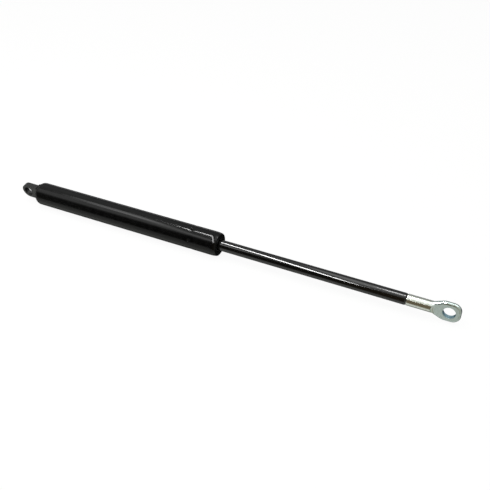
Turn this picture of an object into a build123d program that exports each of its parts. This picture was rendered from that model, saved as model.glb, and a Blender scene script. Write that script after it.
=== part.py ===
from build123d import *
import math
import os

# Gas spring with a flat eye at each end, lying on its side and fully extended.
# Millimetres, +Z up. The origin is the centre of the tube eye's hole and +X runs
# along the axis of the spring, towards the rod eye.

os.makedirs("parts", exist_ok=True)

# Driving sizes
stroke = 160.0
tube_diameter = 22.0
tube_wall = 1.5
rod_diameter = 10.0
rod_reserve = 10.0
tube_eye_reach = 13.0
rod_eye_reach = 14.5

# Turn of each flat eye about the axis, from facing -Y, positive towards the floor
tube_eye_turn = 9.0
rod_eye_turn = 0.0

# Closed end of the tube
base_wall = 2.5
shoulder_radius = 5.5

# Rolled front end of the tube
lip_wall = 1.5
lip_gap = 1.3
roll_length = 3.0
roll_drop = 0.7
roll_edge_radius = 0.7
rim_edge_radius = 20.0
lip_edge_radius = 0.4

# Punched dimples that hold the guide pack
dimple_count = 6
dimple_first_angle = 42.0
dimple_mouth_radius = 1.2
dimple_tip_radius = 0.4
dimple_depth = 0.8
bump_radius = 1.5
bump_top_radius = 0.7
bump_height = 0.6
bump_gap = 0.1

# Guide pack, named from the front face inwards
pack_gap = 0.05
running_gap = 0.04
seal_gap = 0.02
end_washer_thickness = 1.0
end_washer_gap = 1.2
wiper_length = 3.0
wiper_lip_length = 1.5
wiper_lip_wall = 0.9
outer_guide_length = 7.0
liner_wall = 0.8
o_ring_section = 1.9
o_ring_groove_width = 2.3
o_ring_groove_gap = 0.05
seal_support_thickness = 1.5
seal_support_gap = 0.3
main_seal_length = 5.5
seal_heel_length = 2.5
energiser_section = 2.1
energiser_gap = 0.05
pressure_washer_thickness = 1.2
pressure_washer_gap = 0.4
inner_guide_length = 4.7
inner_guide_slot_width = 2.0
inner_guide_slot_depth = 1.0
inner_guide_slot_count = 4

# Piston stack on the rod, named from the front backwards
stop_gap = 0.3
bumper_length = 2.5
bumper_wall = 2.8
front_washer_thickness = 0.8
piston_length = 6.5
piston_gap = 0.9
piston_ring_width = 2.3
piston_ring_side_gap = 0.1
piston_ring_wall = 1.9
piston_ring_back_gap = 0.3
piston_ring_fit = 0.06
flow_hole_radius = 0.8
flow_hole_count = 6
metering_disc_thickness = 0.6
disc_setback = 0.3
notch_radius = 0.9
notch_count = 3
rear_washer_thickness = 0.8
rear_washer_wall = 3.2
nut_thickness = 2.0
nut_across_flats = 10.0
spigot_diameter = 6.5
spigot_gap = 0.05
rivet_height = 0.2
bottom_gap = 1.4

# Outer end of the rod and its threaded spigot
rod_end_chamfer = 0.8
thread_diameter = 8.0
thread_length = 12.0
thread_gap = 0.05
thread_tip_chamfer = 0.6

# Flat eye welded to the closed end of the tube
tab_width = 14.4
tab_thickness = 5.2
tab_edge_chamfer = 0.3
tube_eye_hole_diameter = 9.0
weld_leg = 1.2
weld_toe = 0.3

# Flat eye screwed on the rod
socket_diameter = 9.7
socket_length = 19.5
socket_edge_chamfer = 0.4
blade_thickness = 4.0
head_width = 18.4
head_setback = 3.0
head_end_reach = 9.2
head_corner_radius = 7.0
press_radius = 8.4
press_edge_radius = 2.0
rod_eye_hole_diameter = 10.2
blade_edge_radius = 1.8
blade_hole_chamfer = 0.3

# Radii
tube_radius = tube_diameter / 2
bore_radius = tube_radius - tube_wall
rod_radius = rod_diameter / 2
lip_radius = rod_radius + lip_gap
pack_radius = bore_radius - pack_gap
spigot_radius = spigot_diameter / 2
spigot_hole_radius = spigot_radius + spigot_gap
piston_radius = bore_radius - piston_gap
disc_radius = piston_radius - disc_setback
socket_radius = socket_diameter / 2
head_radius = head_width / 2
tab_half_width = tab_width / 2

# Places along the axis, from the closed end of the tube forwards
tube_back = tube_eye_reach
tube_floor = tube_back + base_wall
rivet_back = tube_floor + bottom_gap + stroke
nut_back = rivet_back + rivet_height
rear_washer_back = nut_back + nut_thickness
disc_back = rear_washer_back + rear_washer_thickness
piston_back = disc_back + metering_disc_thickness
piston_front = piston_back + piston_length
bumper_back = piston_front + front_washer_thickness
bumper_front = bumper_back + bumper_length
inner_guide_back = bumper_front + stop_gap
pressure_washer_back = inner_guide_back + inner_guide_length
main_seal_back = pressure_washer_back + pressure_washer_thickness
main_seal_front = main_seal_back + main_seal_length
outer_guide_back = main_seal_front + seal_support_thickness
outer_guide_front = outer_guide_back + outer_guide_length
wiper_front = outer_guide_front + wiper_length
lip_back = wiper_front + end_washer_thickness
tube_front = lip_back + lip_wall
rim_place = tube_front - roll_length
dimple_place = inner_guide_back - bump_gap - bump_radius
rod_end = tube_front + stroke + rod_reserve
socket_front = rod_end + socket_length
rod_eye_place = socket_front + rod_eye_reach


# Plane of a flat eye: local X along the axis, local Z out of the face that is seen
def eye_plane(place, turn):
    angle = math.radians(turn)
    return Plane(
        origin=(place, 0, 0),
        x_dir=(1, 0, 0),
        z_dir=(0, -math.cos(angle), -math.sin(angle)),
    )


# Plane across the axis whose local X lies in the width of a flat eye
def cross_plane(place, turn):
    angle = math.radians(turn)
    return Plane(
        origin=(place, 0, 0),
        x_dir=(0, -math.sin(angle), math.cos(angle)),
        z_dir=(1, 0, 0),
    )


# Outside form of the tube's closed end, which cuts the roots of what is welded to it
with BuildPart() as tube_end_form:
    with BuildSketch(Plane.XY):
        with BuildLine():
            Line((tube_back, 0), (tube_back, tube_radius - shoulder_radius))
            CenterArc(
                (tube_back + shoulder_radius, tube_radius - shoulder_radius),
                shoulder_radius,
                90,
                90,
            )
            Polyline(
                (tube_back + shoulder_radius, tube_radius),
                (tube_back + 2 * shoulder_radius, tube_radius),
                (tube_back + 2 * shoulder_radius, 0),
                (tube_back, 0),
            )
        make_face()
    revolve(axis=Axis.X)

# Pressure tube: drawn steel, spun shut behind and rolled in over the guide pack
with BuildPart() as pressure_tube:
    inner_shoulder = shoulder_radius - tube_wall
    with BuildSketch(Plane.XY):
        with BuildLine():
            Line((tube_back, 0), (tube_back, tube_radius - shoulder_radius))
            CenterArc(
                (tube_back + shoulder_radius, tube_radius - shoulder_radius),
                shoulder_radius,
                90,
                90,
            )
            FilletPolyline(
                (tube_back + shoulder_radius, tube_radius),
                (rim_place, tube_radius),
                (tube_front, tube_radius - roll_drop),
                (tube_front, lip_radius),
                (lip_back, lip_radius),
                radius=(rim_edge_radius, roll_edge_radius, lip_edge_radius),
            )
            Polyline(
                (lip_back, lip_radius),
                (lip_back, bore_radius),
                (tube_floor + inner_shoulder, bore_radius),
            )
            CenterArc(
                (tube_floor + inner_shoulder, bore_radius - inner_shoulder),
                inner_shoulder,
                90,
                90,
            )
            Polyline(
                (tube_floor, bore_radius - inner_shoulder),
                (tube_floor, 0),
                (tube_back, 0),
            )
        make_face()
    revolve(axis=Axis.X)
    with Locations(Plane.YZ.offset(dimple_place)):
        with PolarLocations(bore_radius - bump_height, dimple_count, dimple_first_angle):
            Cone(
                bump_top_radius,
                bump_radius,
                bump_height + tube_wall / 2,
                rotation=(0, 90, 0),
                align=(Align.CENTER, Align.CENTER, Align.MIN),
            )
        with PolarLocations(tube_radius - dimple_depth, dimple_count, dimple_first_angle):
            Cone(
                dimple_tip_radius,
                dimple_mouth_radius,
                dimple_depth,
                rotation=(0, 90, 0),
                align=(Align.CENTER, Align.CENTER, Align.MIN),
                mode=Mode.SUBTRACT,
            )
pressure_tube.part.label = "pressure_tube"
export_step(pressure_tube.part, "parts/pressure_tube.step")

# Flat eye at the closed end: a rounded steel tab whose root is cut to the tube's end
with BuildPart() as tube_eye:
    tab_plane = eye_plane(0, tube_eye_turn)
    with BuildSketch(tab_plane):
        Circle(tab_half_width)
        with Locations(((tube_back + shoulder_radius) / 2, 0)):
            Rectangle(tube_back + shoulder_radius, tab_width)
    extrude(amount=tab_thickness / 2, both=True)
    with BuildSketch(tab_plane):
        Circle(tube_eye_hole_diameter / 2)
    extrude(amount=tab_thickness, both=True, mode=Mode.SUBTRACT)
    tab_rims = tube_eye.faces().filter_by(tab_plane).edges()
    chamfer(tab_rims, tab_edge_chamfer)
    add(tube_end_form.part, mode=Mode.SUBTRACT)
tube_eye.part.label = "tube_eye"
export_step(tube_eye.part, "parts/tube_eye.step")

# Weld around the tab's root: a sloping oblong collar that sits on the tube's end
with BuildPart() as eye_weld:
    weld_back = tube_back - weld_leg
    weld_front = tube_back + shoulder_radius / 2
    toe_width = 2 * weld_toe
    leg_width = 2 * weld_leg
    with BuildSketch(cross_plane(weld_back, tube_eye_turn)):
        RectangleRounded(tab_width + toe_width, tab_thickness + toe_width, weld_toe)
    with BuildSketch(cross_plane(tube_back, tube_eye_turn)):
        RectangleRounded(tab_width + leg_width, tab_thickness + leg_width, weld_leg)
    loft(ruled=True)
    with BuildSketch(cross_plane(tube_back, tube_eye_turn)):
        RectangleRounded(tab_width + leg_width, tab_thickness + leg_width, weld_leg)
    extrude(amount=weld_front - tube_back)
    with BuildSketch(cross_plane(weld_back, tube_eye_turn)):
        Rectangle(tab_width, tab_thickness)
    extrude(amount=weld_front - weld_back, mode=Mode.SUBTRACT)
    add(tube_end_form.part, mode=Mode.SUBTRACT)
eye_weld.part.label = "eye_weld"
export_step(eye_weld.part, "parts/eye_weld.step")

# Steel washer behind the rolled lip
with BuildPart() as end_washer:
    with BuildSketch(Plane.YZ.offset(wiper_front)):
        Circle(pack_radius)
        Circle(rod_radius + end_washer_gap, mode=Mode.SUBTRACT)
    extrude(amount=end_washer_thickness)
end_washer.part.label = "end_washer"
export_step(end_washer.part, "parts/end_washer.step")

# Rubber wiper whose lip reaches out through the washer and rides on the rod
with BuildPart() as wiper_seal:
    wiper_bore = rod_radius + seal_gap
    lip_tip = wiper_front + wiper_lip_length
    lip_outside = wiper_bore + wiper_lip_wall
    with BuildSketch(Plane.XY):
        with BuildLine():
            Polyline(
                (outer_guide_front, wiper_bore + wiper_lip_wall / 2),
                (outer_guide_front, pack_radius),
                (wiper_front, pack_radius),
                (wiper_front, lip_outside),
                (lip_tip, wiper_bore + wiper_lip_wall / 2),
                (lip_tip, wiper_bore),
                (wiper_front, wiper_bore + wiper_lip_wall / 4),
                (outer_guide_front, wiper_bore + wiper_lip_wall / 2),
            )
        make_face()
    revolve(axis=Axis.X)
wiper_seal.part.label = "wiper_seal"
export_step(wiper_seal.part, "parts/wiper_seal.step")

# Outer guide bush, with a groove for its O-ring
with BuildPart() as outer_guide:
    liner_outside = rod_radius + running_gap + liner_wall
    groove_place = (outer_guide_back + outer_guide_front) / 2
    groove_floor = pack_radius - o_ring_section - o_ring_groove_gap
    with BuildSketch(Plane.YZ.offset(outer_guide_back)):
        Circle(pack_radius)
        Circle(liner_outside, mode=Mode.SUBTRACT)
    extrude(amount=outer_guide_length)
    with BuildSketch(Plane.YZ.offset(groove_place - o_ring_groove_width / 2)):
        Circle(tube_radius)
        Circle(groove_floor, mode=Mode.SUBTRACT)
    extrude(amount=o_ring_groove_width, mode=Mode.SUBTRACT)
outer_guide.part.label = "outer_guide"
export_step(outer_guide.part, "parts/outer_guide.step")

# Thin bearing liner pressed in the outer guide
with BuildPart() as guide_liner:
    with BuildSketch(Plane.YZ.offset(outer_guide_back)):
        Circle(liner_outside)
        Circle(rod_radius + running_gap, mode=Mode.SUBTRACT)
    extrude(amount=outer_guide_length)
guide_liner.part.label = "guide_liner"
export_step(guide_liner.part, "parts/guide_liner.step")

# O-ring between the outer guide and the tube
with BuildPart() as guide_o_ring:
    with BuildSketch(Plane.XY):
        with Locations((groove_place, pack_radius - o_ring_section / 2)):
            Circle(o_ring_section / 2)
    revolve(axis=Axis.X)
guide_o_ring.part.label = "guide_o_ring"
export_step(guide_o_ring.part, "parts/guide_o_ring.step")

# Steel ring that backs the main seal
with BuildPart() as seal_support:
    with BuildSketch(Plane.YZ.offset(main_seal_front)):
        Circle(pack_radius)
        Circle(rod_radius + seal_support_gap, mode=Mode.SUBTRACT)
    extrude(amount=seal_support_thickness)
seal_support.part.label = "seal_support"
export_step(seal_support.part, "parts/seal_support.step")

# Main rubber seal: a heel with an inner and an outer lip, open towards the gas
with BuildPart() as main_seal:
    seal_bore = rod_radius + seal_gap
    seal_channel_front = main_seal_front - seal_heel_length
    channel_width = energiser_section + 2 * energiser_gap
    seal_lip_wall = (pack_radius - seal_bore - channel_width) / 2
    with BuildSketch(Plane.YZ.offset(main_seal_back)):
        Circle(pack_radius)
        Circle(seal_bore, mode=Mode.SUBTRACT)
    extrude(amount=main_seal_length)
    with BuildSketch(Plane.YZ.offset(main_seal_back)):
        Circle(pack_radius - seal_lip_wall)
        Circle(seal_bore + seal_lip_wall, mode=Mode.SUBTRACT)
    extrude(amount=main_seal_length - seal_heel_length, mode=Mode.SUBTRACT)
main_seal.part.label = "main_seal"
export_step(main_seal.part, "parts/main_seal.step")

# Rubber ring that spreads the two lips of the main seal
with BuildPart() as seal_energiser:
    energiser_radius = energiser_section / 2
    with BuildSketch(Plane.XY):
        with Locations((seal_channel_front - energiser_radius, (pack_radius + seal_bore) / 2)):
            Circle(energiser_radius)
    revolve(axis=Axis.X)
seal_energiser.part.label = "seal_energiser"
export_step(seal_energiser.part, "parts/seal_energiser.step")

# Steel washer between the main seal and the inner guide
with BuildPart() as pressure_washer:
    with BuildSketch(Plane.YZ.offset(pressure_washer_back)):
        Circle(pack_radius)
        Circle(rod_radius + pressure_washer_gap, mode=Mode.SUBTRACT)
    extrude(amount=pressure_washer_thickness)
pressure_washer.part.label = "pressure_washer"
export_step(pressure_washer.part, "parts/pressure_washer.step")

# Inner guide bush, held by the punched dimples, with oil slots in its outside
with BuildPart() as inner_guide:
    with BuildSketch(Plane.YZ.offset(inner_guide_back)):
        Circle(pack_radius)
        Circle(rod_radius + running_gap, mode=Mode.SUBTRACT)
        with PolarLocations(pack_radius, inner_guide_slot_count):
            Rectangle(2 * inner_guide_slot_depth, inner_guide_slot_width, mode=Mode.SUBTRACT)
    extrude(amount=inner_guide_length)
inner_guide.part.label = "inner_guide"
export_step(inner_guide.part, "parts/inner_guide.step")

# Piston rod: spigot and rivet head behind, shank, threaded spigot in front
with BuildPart() as piston_rod:
    thread_radius = thread_diameter / 2
    with BuildSketch(Plane.XY):
        with BuildLine():
            Polyline(
                (rivet_back, 0),
                (rivet_back, spigot_radius),
                (bumper_back, spigot_radius),
                (bumper_back, rod_radius),
                (rod_end - rod_end_chamfer, rod_radius),
                (rod_end, rod_radius - rod_end_chamfer / 2),
                (rod_end, thread_radius),
                (rod_end + thread_length - thread_tip_chamfer, thread_radius),
                (rod_end + thread_length, thread_radius - thread_tip_chamfer),
                (rod_end + thread_length, 0),
                (rivet_back, 0),
            )
        make_face()
    revolve(axis=Axis.X)
piston_rod.part.label = "piston_rod"
export_step(piston_rod.part, "parts/piston_rod.step")

# Soft stop ring that meets the inner guide at full extension
with BuildPart() as rebound_bumper:
    with BuildSketch(Plane.YZ.offset(bumper_back)):
        Circle(rod_radius + bumper_wall)
        Circle(rod_radius, mode=Mode.SUBTRACT)
    extrude(amount=bumper_length)
    round_edges = rebound_bumper.edges().filter_by(GeomType.CIRCLE)
    fillet(round_edges.sort_by(SortBy.RADIUS)[-2:], bumper_length / 4)
rebound_bumper.part.label = "rebound_bumper"
export_step(rebound_bumper.part, "parts/rebound_bumper.step")

# Washer between the rod's shoulder and the piston
with BuildPart() as front_piston_washer:
    with BuildSketch(Plane.YZ.offset(piston_front)):
        Circle(disc_radius)
        Circle(spigot_hole_radius, mode=Mode.SUBTRACT)
        with PolarLocations((disc_radius + spigot_radius) / 2, flow_hole_count):
            Circle(flow_hole_radius, mode=Mode.SUBTRACT)
    extrude(amount=front_washer_thickness)
front_piston_washer.part.label = "front_piston_washer"
export_step(front_piston_washer.part, "parts/front_piston_washer.step")

# Piston with a groove for its ring and a circle of flow holes
with BuildPart() as piston:
    ring_inside = bore_radius - piston_ring_fit - piston_ring_wall
    groove_width = piston_ring_width + 2 * piston_ring_side_gap
    ring_place = (piston_back + piston_front) / 2
    with BuildSketch(Plane.YZ.offset(piston_back)):
        Circle(piston_radius)
        Circle(spigot_hole_radius, mode=Mode.SUBTRACT)
        with PolarLocations((disc_radius + spigot_radius) / 2, flow_hole_count):
            Circle(flow_hole_radius, mode=Mode.SUBTRACT)
    extrude(amount=piston_length)
    with BuildSketch(Plane.YZ.offset(ring_place - groove_width / 2)):
        Circle(tube_radius)
        Circle(ring_inside - piston_ring_back_gap, mode=Mode.SUBTRACT)
    extrude(amount=groove_width, mode=Mode.SUBTRACT)
piston.part.label = "piston"
export_step(piston.part, "parts/piston.step")

# Piston ring, which slides along the bore with the piston and lets it turn
with BuildPart() as piston_ring:
    with BuildSketch(Plane.YZ.offset(ring_place - piston_ring_width / 2)):
        Circle(bore_radius - piston_ring_fit)
        Circle(ring_inside, mode=Mode.SUBTRACT)
    extrude(amount=piston_ring_width)
piston_ring.part.label = "piston_ring"
export_step(piston_ring.part, "parts/piston_ring.step")

# Thin notched disc that meters the oil through the flow holes
with BuildPart() as metering_disc:
    with BuildSketch(Plane.YZ.offset(disc_back)):
        Circle(disc_radius)
        Circle(spigot_hole_radius, mode=Mode.SUBTRACT)
        with PolarLocations(disc_radius, notch_count):
            Circle(notch_radius, mode=Mode.SUBTRACT)
    extrude(amount=metering_disc_thickness)
metering_disc.part.label = "metering_disc"
export_step(metering_disc.part, "parts/metering_disc.step")

# Washer behind the metering disc
with BuildPart() as rear_piston_washer:
    with BuildSketch(Plane.YZ.offset(rear_washer_back)):
        Circle(spigot_radius + rear_washer_wall)
        Circle(spigot_hole_radius, mode=Mode.SUBTRACT)
    extrude(amount=rear_washer_thickness)
rear_piston_washer.part.label = "rear_piston_washer"
export_step(rear_piston_washer.part, "parts/rear_piston_washer.step")

# Thin hexagon nut that clamps the piston stack
with BuildPart() as piston_nut:
    with BuildSketch(Plane.YZ.offset(nut_back)):
        RegularPolygon(nut_across_flats / 2, 6, major_radius=False)
        Circle(spigot_hole_radius, mode=Mode.SUBTRACT)
    extrude(amount=nut_thickness)
piston_nut.part.label = "piston_nut"
export_step(piston_nut.part, "parts/piston_nut.step")

# Flat blade of the rod eye: a wide head with a blunt end, which narrows to the socket
with BuildPart() as eye_blade:
    blade_plane = eye_plane(0, rod_eye_turn)
    half_blade = blade_thickness / 2
    root_half_width = math.sqrt(socket_radius**2 - half_blade**2)
    with BuildSketch(blade_plane):
        corner_place = rod_eye_place + head_end_reach - head_corner_radius
        corner_side = head_radius - head_corner_radius
        with Locations((rod_eye_place - head_setback, 0)):
            Circle(head_radius)
        with Locations((corner_place, corner_side), (corner_place, -corner_side)):
            Circle(head_corner_radius)
        with Locations((socket_front - half_blade / 2, 0)):
            Rectangle(half_blade, 2 * root_half_width)
        make_hull()
    extrude(amount=half_blade, both=True)
    blade_rims = eye_blade.faces().filter_by(blade_plane).edges()
    outer_rims = blade_rims.filter_by(lambda edge: edge.bounding_box().max.X > socket_front)
    fillet(outer_rims, blade_edge_radius)
    with BuildSketch(blade_plane):
        with Locations((rod_eye_place, 0)):
            Circle(rod_eye_hole_diameter / 2)
    extrude(amount=blade_thickness, both=True, mode=Mode.SUBTRACT)
    hole_rims = eye_blade.faces().filter_by(blade_plane).edges().filter_by(GeomType.CIRCLE)
    hole_rims = hole_rims.filter_by(lambda edge: abs(edge.radius - rod_eye_hole_diameter / 2) < 0.01)
    chamfer(hole_rims, blade_hole_chamfer)

# Form of the round dies that press the bar flat from two sides
with BuildPart() as press_form:
    press_place = socket_front + press_radius
    press_axis = Axis((0, 0, 0), blade_plane.z_dir)
    with BuildSketch(blade_plane.offset(half_blade)):
        with Locations((press_place, 0)):
            Circle(press_radius)
    extrude(amount=socket_radius)
    press_edge = press_form.edges().filter_by(GeomType.CIRCLE).sort_by(press_axis)[0]
    fillet(press_edge, press_edge_radius)
    mirror(about=blade_plane)

# Rod eye: a round socket, pressed on two sides down to its blade
with BuildPart() as rod_eye:
    with BuildSketch(Plane.YZ.offset(rod_end)):
        Circle(socket_radius)
    extrude(amount=press_place - rod_end)
    back_rim = rod_eye.edges().group_by(Axis.X)[0]
    chamfer(back_rim, socket_edge_chamfer)
    add(eye_blade.part)
    add(press_form.part, mode=Mode.SUBTRACT)
    with BuildSketch(Plane.YZ.offset(rod_end)):
        Circle(thread_radius + thread_gap)
    extrude(amount=thread_length + thread_gap, mode=Mode.SUBTRACT)
rod_eye.part.label = "rod_eye"
export_step(rod_eye.part, "parts/rod_eye.step")
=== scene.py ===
"""Looks of a gas spring: black tube, glossy black rod and a drilled eye at each end.

The pieces that show are modelled in millimetres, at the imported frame's sizes, and
brought to metres at the end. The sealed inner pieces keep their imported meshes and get
their own finishes. +X runs along the axis, from tube eye to rod eye.
"""

import logging
import math
from collections.abc import Callable
from dataclasses import dataclass
from enum import Enum

import bmesh
import bpy
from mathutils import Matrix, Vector


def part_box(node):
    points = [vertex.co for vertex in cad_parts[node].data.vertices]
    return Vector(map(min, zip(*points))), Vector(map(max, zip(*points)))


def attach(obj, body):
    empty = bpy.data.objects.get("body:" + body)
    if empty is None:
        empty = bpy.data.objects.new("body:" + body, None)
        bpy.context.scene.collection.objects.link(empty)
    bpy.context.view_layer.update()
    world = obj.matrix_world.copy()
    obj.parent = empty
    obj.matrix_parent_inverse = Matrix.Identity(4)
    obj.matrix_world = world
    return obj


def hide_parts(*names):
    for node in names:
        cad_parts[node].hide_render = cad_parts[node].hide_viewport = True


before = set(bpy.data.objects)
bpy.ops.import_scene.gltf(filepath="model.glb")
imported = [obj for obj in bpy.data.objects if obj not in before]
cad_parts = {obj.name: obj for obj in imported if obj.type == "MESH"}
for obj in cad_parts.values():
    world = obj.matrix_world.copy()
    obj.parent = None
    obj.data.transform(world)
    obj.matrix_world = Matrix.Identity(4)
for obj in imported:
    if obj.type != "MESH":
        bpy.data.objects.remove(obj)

MM_PER_M = 1000.0
ORIGIN = (0.0, 0.0, 0.0)
# Turns that lay a new cylinder along an axis
ALONG_X = (0.0, math.pi / 2, 0.0)
ALONG_Y = (math.pi / 2, 0.0, 0.0)
# How near, in millimetres, a point has to be to count as on a place, ring or face
PLACE_NEAR = 0.01
RING_NEAR = 0.02
FACE_NEAR = 0.001
# A normal with at least this much along an axis faces that way
FACING = 0.99
# An edge that turns by more than this is cut by a tool, and gets its rounding
CUT_DEG = 60.0
# Faces that turn by less than this belong to one round
ROUND_DEG = 35.0
# How far the large faces set a weighted normal, where 100 is most
FACE_WEIGHT = 100
# Names of a Map Range node's inputs: the ends that come in and the ends that go out
FROM = ("From Min", "From Max")
TO = ("To Min", "To Max")
# Places of a Mix node's colour sockets: its two inputs and its output
MIX_A, MIX_B, MIX_OUT = 6, 7, 2
WHITE = (1.0, 1.0, 1.0, 1.0)

log = logging.getLogger("gas_spring")

Colour = tuple[float, float, float, float]
Place = tuple[float, float, float]
Span = tuple[float, float]
Levels = tuple[tuple[float, str], ...]
Edge = tuple[float, float, float, float]
Piece = bpy.types.Object
Tree = bpy.types.NodeTree
Source = bpy.types.Node | bpy.types.NodeSocket
PairTest = Callable[[Vector, Vector], bool]


def linear(hex_colour: str) -> Colour:
    """Turns an sRGB hex colour to the linear colour that a shader socket takes.

    Args:
        hex_colour: six hex digits after a hash, such as "#808080".

    Returns:
        Red, green, blue and an alpha of 1.
    """
    values = [int(hex_colour[place : place + 2], 16) / 255 for place in (1, 3, 5)]
    bent = [v / 12.92 if v <= 0.04045 else ((v + 0.055) / 1.055) ** 2.4 for v in values]
    return bent[0], bent[1], bent[2], 1.0


def add_node(tree: Tree, kind: str, inputs: dict | None = None) -> bpy.types.Node:
    """Adds one node with its settings and links.

    Args:
        tree: the node tree that gets the node.
        kind: the shader node's type, such as "Math".
        inputs: names or numbers of inputs, and names of settings, each with its value.
            A value may be the socket that feeds the input, or a node whose first
            output does. A row of input names takes a row of values.

    Returns:
        The new node.
    """
    node = tree.nodes.new(f"ShaderNode{kind}")
    for name, value in (inputs or {}).items():
        if isinstance(value, bpy.types.Node):
            value = value.outputs[0]
        if isinstance(value, bpy.types.NodeSocket):
            tree.links.new(value, node.inputs[name])
        elif isinstance(name, tuple):
            for each, number in zip(name, value):
                node.inputs[each].default_value = number
        elif isinstance(name, int) or name in node.inputs:
            node.inputs[name].default_value = value
        else:
            setattr(node, name, value)
    return node


def bare_tree(owner: bpy.types.Material | bpy.types.World) -> Tree:
    """Empties the node tree of a material or a world.

    Args:
        owner: the material or world.

    Returns:
        Its node tree.
    """
    owner.use_nodes = True
    owner.node_tree.nodes.clear()
    return owner.node_tree


class Slot(Enum):
    """The record's material slots."""

    TUBE_PAINT = "tube_paint"
    ROD_COAT = "rod_coat"
    ZINC_PLATE = "zinc_plate"
    PLAIN_STEEL = "plain_steel"
    NITRILE_RUBBER = "nitrile_rubber"
    GUIDE_PLASTIC = "guide_plastic"
    RING_PLASTIC = "ring_plastic"
    LINER_BRONZE = "liner_bronze"
    SINTERED_IRON = "sintered_iron"


class Body(Enum):
    """The bodies that new pieces ride on."""

    CYLINDER = "cylinder"
    ROD = "rod"


class Cut(Enum):
    """What a second mesh does to the piece on the bench."""

    AWAY = "DIFFERENCE"
    JOIN = "UNION"


@dataclass(frozen=True)
class Finish:
    """A surface whose colour, roughness and relief vary over the piece.

    Mottle is the slow change of colour and gloss, and grain is the fine relief. Both
    have real sizes in millimetres, and a grain too fine to show is drawn coarser.
    Edges are rubbed to the worn colour and a little duller.
    """

    name: str
    slot: Slot
    light_hex: str
    dark_hex: str
    worn_hex: str
    roughness_ends: Span
    mottle_mm: float
    grain_mm: float
    grain_height_mm: float
    scratch_height_mm: float = 0.0
    worn_share: float = 0.8
    metallic: float = 0.0
    ior: float = 1.5
    stretch: Place = (1.0, 1.0, 1.0)
    mottle_detail: float = 3.0
    grain_detail: float = 2.0
    noise_roughness: float = 0.55
    colour_span: Span = (0.35, 0.65)
    gloss_span: Span = (0.3, 0.7)
    scratch_turn: Place = (0.3, 0.2, 0.5)
    scratch_scale: Place = (0.15, 9.0, 9.0)
    scratch_span: Span = (0.66, 0.76)
    worn_width_mm: float = 0.25
    worn_samples: int = 4
    # How alike the rounded and the real normal are where wear starts and is full
    worn_bend: Span = (0.995, 0.9)
    worn_span: Span = (0.4, 0.6)
    worn_least: float = 0.2
    worn_dulling: float = 0.15

    def material(self) -> bpy.types.Material:
        """Builds the finish once, and gives the same material to every piece.

        Returns:
            The node material.
        """
        if self.name in bpy.data.materials:
            return bpy.data.materials[self.name]
        made = bpy.data.materials.new(self.name)
        tree = bare_tree(made)
        spot = add_node(tree, "TexCoord").outputs["Object"]
        scale = tuple(MM_PER_M / share for share in self.stretch)
        place = add_node(tree, "Mapping", {"Scale": scale, "Vector": spot})
        mottle, grain = (
            add_node(tree, "TexNoise", {
                "Scale": 1.0 / size, "Detail": detail,
                "Roughness": self.noise_roughness, "Vector": place,
            })
            for size, detail in (
                (self.mottle_mm, self.mottle_detail),
                (self.grain_mm, self.grain_detail),
            )
        )
        gloss = {FROM: self.gloss_span, TO: self.roughness_ends, "Value": mottle}
        look = {
            "Metallic": self.metallic,
            "IOR": self.ior,
            "Base Color": self.colour(tree, mottle),
            "Roughness": add_node(tree, "MapRange", gloss),
            "Normal": self.relief(tree, place, grain),
        }
        self.treat(tree, grain, look)
        shader = add_node(tree, "BsdfPrincipled", look)
        add_node(tree, "OutputMaterial", {"Surface": shader})
        return made

    def colour(self, tree: Tree, mottle: Source) -> Source:
        """Gives the base colour, which drifts between the dark and the light one.

        Args:
            tree: the material's nodes.
            mottle: the slow pattern that it follows.

        Returns:
            The colour.
        """
        drift = add_node(tree, "MapRange", {FROM: self.colour_span, "Value": mottle})
        ends = {MIX_A: linear(self.dark_hex), MIX_B: linear(self.light_hex)}
        mixed = add_node(tree, "Mix", {"data_type": "RGBA", **ends, 0: drift})
        return mixed.outputs[MIX_OUT]

    def relief(self, tree: Tree, place: Source, grain: Source) -> Source:
        """Gives the normal, with the grain's relief and with fine scratches.

        The scratches are hairlines some 6 mm long, drawn 0.1 mm wide so that they show.

        Args:
            tree: the material's nodes.
            place: the point on the piece, in millimetres.
            grain: the fine pattern.

        Returns:
            The normal.
        """
        depth = self.grain_height_mm / MM_PER_M
        bump = add_node(tree, "Bump", {"Distance": depth, "Height": grain})
        if not self.scratch_height_mm:
            return bump
        depth = self.scratch_height_mm / MM_PER_M
        laid = add_node(tree, "Mapping", {
            "Rotation": self.scratch_turn, "Scale": self.scratch_scale, "Vector": place,
        })
        noise = add_node(tree, "TexNoise", {
            "Scale": 1.0, "Detail": 1.0,
            "Roughness": self.noise_roughness, "Vector": laid,
        })
        lines = add_node(tree, "MapRange", {FROM: self.scratch_span, "Value": noise})
        return add_node(tree, "Bump", {
            "Distance": depth, "Height": lines, "Normal": bump,
        })

    def treat(self, tree: Tree, grain: Source, look: dict) -> None:
        """Rubs the edges: the sharper an edge, the more the worn colour shows.

        Args:
            tree: the material's nodes.
            grain: the fine pattern that breaks the rubbed line up.
            look: the shader's inputs, whose colour and roughness are changed.
        """
        width = self.worn_width_mm / MM_PER_M
        edge = add_node(tree, "Bevel", {"samples": self.worn_samples, "Radius": width})
        surface = add_node(tree, "NewGeometry").outputs["Normal"]
        both = {"operation": "DOT_PRODUCT", 0: edge, 1: surface}
        alike = add_node(tree, "VectorMath", both).outputs["Value"]
        bent = add_node(tree, "MapRange", {FROM: self.worn_bend, "Value": alike})
        ends = {FROM: self.worn_span, TO: (self.worn_least, self.worn_share)}
        patchy = add_node(tree, "MapRange", {**ends, "Value": grain})
        worn = add_node(tree, "Math", {"operation": "MULTIPLY", 0: bent, 1: patchy})
        self.tint(tree, look, worn, self.worn_hex, self.worn_dulling)

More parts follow.
